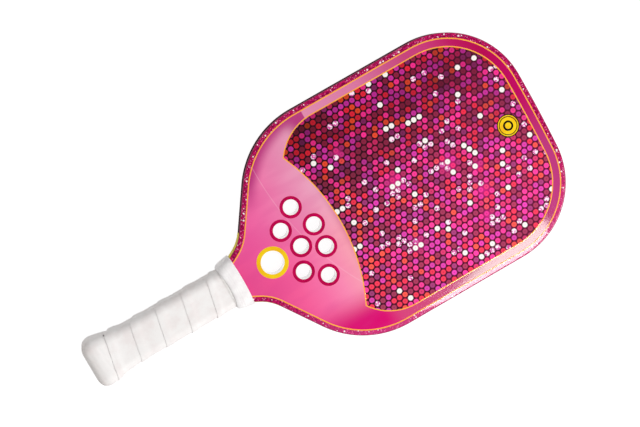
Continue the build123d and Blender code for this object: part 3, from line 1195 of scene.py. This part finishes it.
def makeFirstTurn():  # the tape's first turn, straight round the butt and over its rim
    reach = grip["endRound"] - grip["endStart"]
    rim = range(90, 0, -grip["rimStep"])
    stations = [grip["endRound"] - reach * math.sin(math.radians(a)) for a in rim]
    stations += [grip["endRound"] + 0.7 * i for i in range(grip["rimRuns"])]
    steps = grip["stepsPerTurn"] + grip["firstExtra"]
    depth, gap, run, turns = grip["hidden"]
    thickness, least, closer = grip["firstThickness"], grip["innerFrom"], grip["innerShare"]
    rings = []
    for i in range(steps):
        turn = i / steps
        seam = seamPlace(-turn)
        outer, inner = [], []
        for x in stations:
            sunk = depth * smoothRise((x - seam - gap) / run) * min(1.0, (1 - turn) / turns)
            sunk += slack(x, -turn if turn < 0.5 else 1 - turn)
            outer.append(gripPoint(x, turn, grip["single"] - sunk))
            innerX = x if x > least else least - closer * (least - x)
            inner.append(gripPoint(innerX, turn, grip["single"] - sunk - thickness))
        rings.append(outer + inner[::-1])
    piece = skin("overgrip_first_turn", rings, True, gripTape)
    setValues(piece, "seamShade", [0.0] * len(piece.data.vertices))


baseGrip = {
    "colours": ("#1B1918", "#2A2624"),
    "roughness": 0.75,
    "specular": 0.2,
    "patchScale": 0.8,
    "patchEdges": (0.35, 0.68),
    "grainScale": 2.4,
    "grainDepth": 0.04,
    "grainStrength": 0.5,
    "top": -1.05,  # both against the surface of a single layer of tape
    "underside": -2.0,
    "steps": 96,
    "frontGap": 0.1,
    "rimStep": 0.3,  # the stations stand closer at the butt
    "rimStations": 8,
    "runs": 40,
}


def makeBaseGrip():  # the black grip under the tape, seen only in the slack spots
    low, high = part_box("base_grip")
    first, last, runs = low.x / mm + baseGrip["frontGap"], high.x / mm, baseGrip["runs"]
    stations = [first + baseGrip["rimStep"] * i ** 1.5 for i in range(baseGrip["rimStations"])]
    stations += [stations[-1] + (last - stations[-1]) * i / runs for i in range(1, runs + 1)]
    rings = []
    for i in range(baseGrip["steps"]):
        turn = i / baseGrip["steps"]
        outer = [gripPoint(x, turn, grip["single"] + baseGrip["top"]) for x in stations]
        inner = [gripPoint(x, turn, grip["single"] + baseGrip["underside"]) for x in stations]
        rings.append(outer + inner[::-1])
    piece = skin("base_grip_wrap", rings, True, makeMottled("baseGrip", baseGrip))
    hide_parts("base_grip")


makeTape()
makeFirstTurn()
makeBaseGrip()
print("grip wound")


# Rounded end of the cap, inside the first turn

capEnd = {
    "inset": 6.1,
    "profile": [(8.0, 0.9), (2.1, 0.9), (1.3, 0.5), (0.85, -0.1), (0.6, -1.2), (0.45, -2.4), (0.4, -3.2),
                (0.55, -3.3), (3.0, -3.4), (8.0, -3.4)],
    "plate": [(1.7, -3.25), (0.75, -3.25), (0.6, -3.5), (0.56, -4.2)],
    "corner": 4.6,
    "steps": 96,
    "colours": ("#EFEDEB", "#E3DFDC"),
    "roughness": 0.42,
    "patchScale": 0.2,
    "grainScale": 2.2,
    "grainDepth": 0.015,
}
capPlastic = makeMottled("capPlastic", capEnd)


def capPoint(x, grow, turn):  # on the cap's own section, grown outward
    share = flareShare(0.0)
    out = grow - capEnd["inset"]
    halfY = grip["halfWidth"] + grip["flareWidth"] * share + out
    halfZ = grip["halfThickness"] + grip["flareThickness"] * share + out
    place = roundedSection(halfY, halfZ, capEnd["corner"] + grow, turn)[0]
    return Vector((x, place.x, place.y))


def makeCapEnd():
    turns = [i / capEnd["steps"] for i in range(capEnd["steps"])]
    rings = [[capPoint(x, grow, turn) for x, grow in capEnd["profile"]] for turn in turns]
    skin("butt_cap_rim", rings, True, capPlastic)
    loops = [[capPoint(x, grow, turn) for turn in turns] for x, grow in capEnd["plate"]]
    piece = skin("butt_cap_plate", loops, False, capPlastic)
    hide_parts("butt_cap", "butt_disc")


makeCapEnd()
print("butt end made")


# Collar

collar = {
    "profile": [(124.0, 17.5, 14.9), (124.25, 18.0, 15.2), (125.4, 18.85, 15.45), (127.0, 19.6, 15.4),
                (131.0, 20.5, 14.8), (134.5, 21.25, 13.9), (136.6, 21.5, 13.2), (137.4, 21.4, 12.8),
                (137.8, 21.0, 12.3), (137.85, 20.7, 9.0), (137.8, 20.45, 7.45), (137.4, 20.3, 7.2),
                (136.6, 20.1, 7.2), (136.5, 18.8, 11.6), (127.0, 17.4, 14.3), (124.2, 17.1, 14.2)],
    "outerPoints": 8,
    "steps": 120,
    "stationStep": 0.35,
    "grooves": 5,
    "grooveDepth": 0.12,
    "grooveSpan": (126.5, 136.5),
    "corner": 0.5,  # as a share of the section's lesser half
    "mouthCorner": 0.42,
    "mouthFrom": 136.9,
    "rearBow": 2.4,
    "mouthBow": 1.1,
    "bowHeight": (7.0, 3.0),  # half-height at which the bow starts, and over how much more it comes in
    "colours": ("#F6F4F4", "#EDE9EA"),
    "roughness": 0.45,
    "patchScale": 0.15,
    "grainScale": 1.5,
    "grainDepth": 0.02,
}


def collarStations():  # the outer profile with its fine grooves, then the inner one
    outer = collar["profile"][:collar["outerPoints"]]
    first, last = collar["grooveSpan"]
    stations = []
    for (x0, y0, z0), (x1, y1, z1) in zip(outer, outer[1:]):
        count = max(1, round((x1 - x0) / collar["stationStep"]))
        for i in range(count):
            t = i / count
            x = x0 + (x1 - x0) * t
            groove = 0.0
            if first < x < last:
                wave = math.sin(math.pi * (x - first) / (last - first) * collar["grooves"]) ** 8
                groove = collar["grooveDepth"] * wave
            stations.append((x, y0 + (y1 - y0) * t - groove, z0 + (z1 - z0) * t - groove))
    return stations + collar["profile"][collar["outerPoints"] - 1:]


def makeCollar():
    rings = []
    stations = collarStations()
    rear = stations[0][0]
    length = max(x for x, halfY, halfZ in collar["profile"][:collar["outerPoints"] + 1]) - rear
    bowLow, bowRise = collar["bowHeight"]
    for i in range(collar["steps"]):
        ring = []
        for x, halfY, halfZ in stations:
            corner = collar["corner"] if x < collar["mouthFrom"] else collar["mouthCorner"]
            place = roundedSection(halfY, halfZ, min(halfY, halfZ) * corner, i / collar["steps"])[0]
            toMouth = (x - rear) / length
            bow = collar["rearBow"] + (collar["mouthBow"] - collar["rearBow"]) * toMouth
            x = x + bow * (1 - (place.x / halfY) ** 2) * smoothRise((halfZ - bowLow) / bowRise)
            ring.append(Vector((x, place.x, place.y)))
        rings.append(ring)
    piece = skin("collar_rubber", rings, True, makeMottled("collarRubber", collar))
    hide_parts("grip_collar")


makeCollar()
print("collar made")


# Finish of the CAD parts that stay

partFinish = {  # material name, its two colours, roughness, scale of its patches and what else differs
    "honeycomb_core": ("honeycomb", "#E9E4D6", "#D8D0BC", 0.6, 0.5),
    "perimeter_foam": ("edgeFoam", "#F2EFE6", "#E2DCCB", 0.85, 1.2),
    "throat_block": ("edgeFoam", "#F2EFE6", "#E2DCCB", 0.85, 1.2),
    "handle_core": ("edgeFoam", "#F2EFE6", "#E2DCCB", 0.85, 1.2),
    "front_face_sheet": ("fibreglassSheet", "#D9D6C2", "#C2BFA6", 0.35, 0.4),
    "back_face_sheet": ("fibreglassSheet", "#D9D6C2", "#C2BFA6", 0.35, 0.4),
    "pallet_front": ("palletFoam", "#3B3A39", "#2A2928", 0.8, 1.0),
    "pallet_back": ("palletFoam", "#3B3A39", "#2A2928", 0.8, 1.0),
    "cap_staples": ("stapleSteel", "#C9C9C7", "#A7A6A3", 0.3, 2.0, {"metallic": 1.0}),
    "finishing_tape": ("finishingTape", "#F4F2F0", "#E6E2DF", 0.5, 0.6),
}
linerFinish = ("linerPlastic", "#FFFFFF", "#F6F4F2", 0.15, 0.5,
               {"coat": 1.0, "specular": 1.0, "grainDepth": 0.002})


def makePartMaterial(name, light, deep, roughness, scale, more=None):
    look = {"colours": (light, deep), "roughness": roughness, "patchScale": scale, "patchDetail": 4.0,
            "patchEdges": (0.35, 0.68), "grainScale": 3 * scale, "grainDepth": 0.04, "grainStrength": 0.5}
    return makeMottled(name, {**look, **(more or {})})


for name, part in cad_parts.items():
    finish = linerFinish if "liner" in name else partFinish.get(name)
    if finish is None:
        continue
    part.data.materials.clear()
    part.data.materials.append(makePartMaterial(*finish))
print("parts finished")


# Floor, lights and background

studio = {
    "floorSize": 30.0,
    "floorTouches": (126.0, 1.0),  # under the collar, and this far back from the tip
    "floorGap": 0.15,
    "floorGlow": 0.93,
    "filmHeight": 7.1,
    "boxHeight": 1.0,
    "boxEdge": ((274.0, -98.0), (311.0, -86.0)),  # line on the film along which the box is seen
    "boxSpan": (-26.0, 100.0),  # how far along that line its image runs
    "boxDepth": 0.16,
    "boxGlow": 21.0,
    "sideBoxPlace": (0.78, -0.66, 0.95),
    "sideBoxSize": 0.55,
    "sideBoxPower": 8.8,
    "skyLevel": 0.5,
    "skyZenith": 0.06,
    "skyFall": (0.35, 0.95),
}


def makeFloor():  # touches the collar and the tip, as the paddle lies
    rearX, fromTip = studio["floorTouches"]
    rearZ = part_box("grip_collar")[0].z / mm
    tipX, tipZ = blade["length"] - fromTip, -blade["filmTop"]
    slope = (tipZ - rearZ) / (tipX - rearX)
    mesh = bpy.data.meshes.new("floor")
    half = studio["floorSize"] / 2
    corners = []
    for x, y in ((-half, -half), (half, -half), (half, half), (-half, half)):
        corners.append((x, y, (rearZ - studio["floorGap"]) * mm + slope * (x - rearX * mm)))
    mesh.from_pydata(corners, [], [(0, 1, 2, 3)])
    floor = bpy.data.objects.new("floor", mesh)
    bpy.context.scene.collection.objects.link(floor)
    material = bpy.data.materials.new("floorPaper")
    material.use_nodes = True
    tree = material.node_tree
    tree.nodes.clear()
    rays = node(tree, "LightPath").outputs
    seen = calc(tree, "MAXIMUM", rays["Is Camera Ray"], rays["Is Glossy Ray"])
    seen = calc(tree, "MAXIMUM", seen, rays["Is Transmission Ray"])
    plain = node(tree, "BsdfDiffuse", {"Color": (0.8, 0.8, 0.8, 1)}).outputs[0]
    dim = node(tree, "BsdfDiffuse", {"Color": (0.25, 0.247, 0.247, 1)}).outputs[0]
    glowing = node(tree, "Emission", {"Strength": studio["floorGlow"]}).outputs[0]
    bright = node(tree, "AddShader", {0: dim, 1: glowing}).outputs[0]
    chosen = node(tree, "MixShader", {0: seen, 1: plain, 2: bright}).outputs[0]
    node(tree, "OutputMaterial", {"Surface": chosen})
    mesh.materials.append(material)


def mirrored(x, y):  # where a lamp at the box's height stands to be seen at this spot of the film
    eye = Vector(cameraSetup["place"]) * mm
    film = studio["filmHeight"] * mm
    share = (eye.z - film) / (eye.z - film + studio["boxHeight"])
    spot = Vector((x, y)) * mm
    flat = Vector((eye.x, eye.y)) + (spot - Vector((eye.x, eye.y))) / share
    return Vector((flat.x, flat.y, film + studio["boxHeight"]))


def makeSoftBox():
    (x0, y0), (x1, y1) = studio["boxEdge"]
    line = Vector((x1 - x0, y1 - y0)).normalized()
    ends = [Vector((x0, y0)) + line * run for run in studio["boxSpan"]]
    first, second = [mirrored(end.x, end.y) for end in ends]
    along = (second - first).normalized()
    aside = Vector((along.y, -along.x, 0))
    lamp = bpy.data.lights.new("soft_box", "AREA")
    lamp.shape = "RECTANGLE"
    lamp.size = (second - first).length
    lamp.size_y = studio["boxDepth"]
    lamp.energy = studio["boxGlow"] * math.pi * lamp.size * lamp.size_y
    lamp.color = (1.0, 0.97, 0.93)
    soft = bpy.data.objects.new("soft_box", lamp)
    place = (first + second) / 2 + aside * studio["boxDepth"] / 2
    turn = Matrix((along, -aside, Vector((0, 0, 1)))).transposed().to_4x4()
    soft.matrix_world = Matrix.Translation(place) @ turn
    bpy.context.scene.collection.objects.link(soft)


def makeSideBox():  # the broad light from the same side, out of the film's mirror
    lamp = bpy.data.lights.new("side_box", "AREA")
    lamp.shape = "SQUARE"
    lamp.size = studio["sideBoxSize"]
    lamp.energy = studio["sideBoxPower"]
    soft = bpy.data.objects.new("side_box", lamp)
    place = Vector(studio["sideBoxPlace"])
    aim = Vector((0.2, 0.0, 0.0)) - place
    soft.matrix_world = Matrix.Translation(place) @ aim.to_track_quat("-Z", "Y").to_matrix().to_4x4()
    bpy.context.scene.collection.objects.link(soft)


def makeSky():
    world = bpy.data.worlds.new("studio")
    bpy.context.scene.world = world
    world.use_nodes = True
    tree = world.node_tree
    tree.nodes.clear()
    rays = node(tree, "LightPath").outputs
    direction = node(tree, "TexCoord").outputs["Generated"]
    height = node(tree, "SeparateXYZ", {0: direction}).outputs[2]
    upward = between(tree, height, *studio["skyFall"])
    fall = {"Value": upward, "To Min": 1.0, "To Max": studio["skyZenith"]}
    levels = [studio["skyLevel"], node(tree, "MapRange", fall).outputs[0], 1.0]
    tints = [(1, 0.99, 0.985, 1), (1, 1, 1, 1), (1, 1, 1, 1)]
    lit, shine, plain = [node(tree, "Background", {"Color": tint, "Strength": level}).outputs[0]
                         for tint, level in zip(tints, levels)]
    mirrorRay = calc(tree, "MAXIMUM", rays["Is Glossy Ray"], rays["Is Transmission Ray"])
    first = node(tree, "MixShader", {0: mirrorRay, 1: lit, 2: shine}).outputs[0]
    second = node(tree, "MixShader", {0: rays["Is Camera Ray"], 1: first, 2: plain}).outputs[0]
    node(tree, "OutputWorld", {"Surface": second})


makeFloor()
makeSoftBox()
makeSideBox()
makeSky()
bpy.context.scene.view_settings.view_transform = "Standard"
print("studio lit")
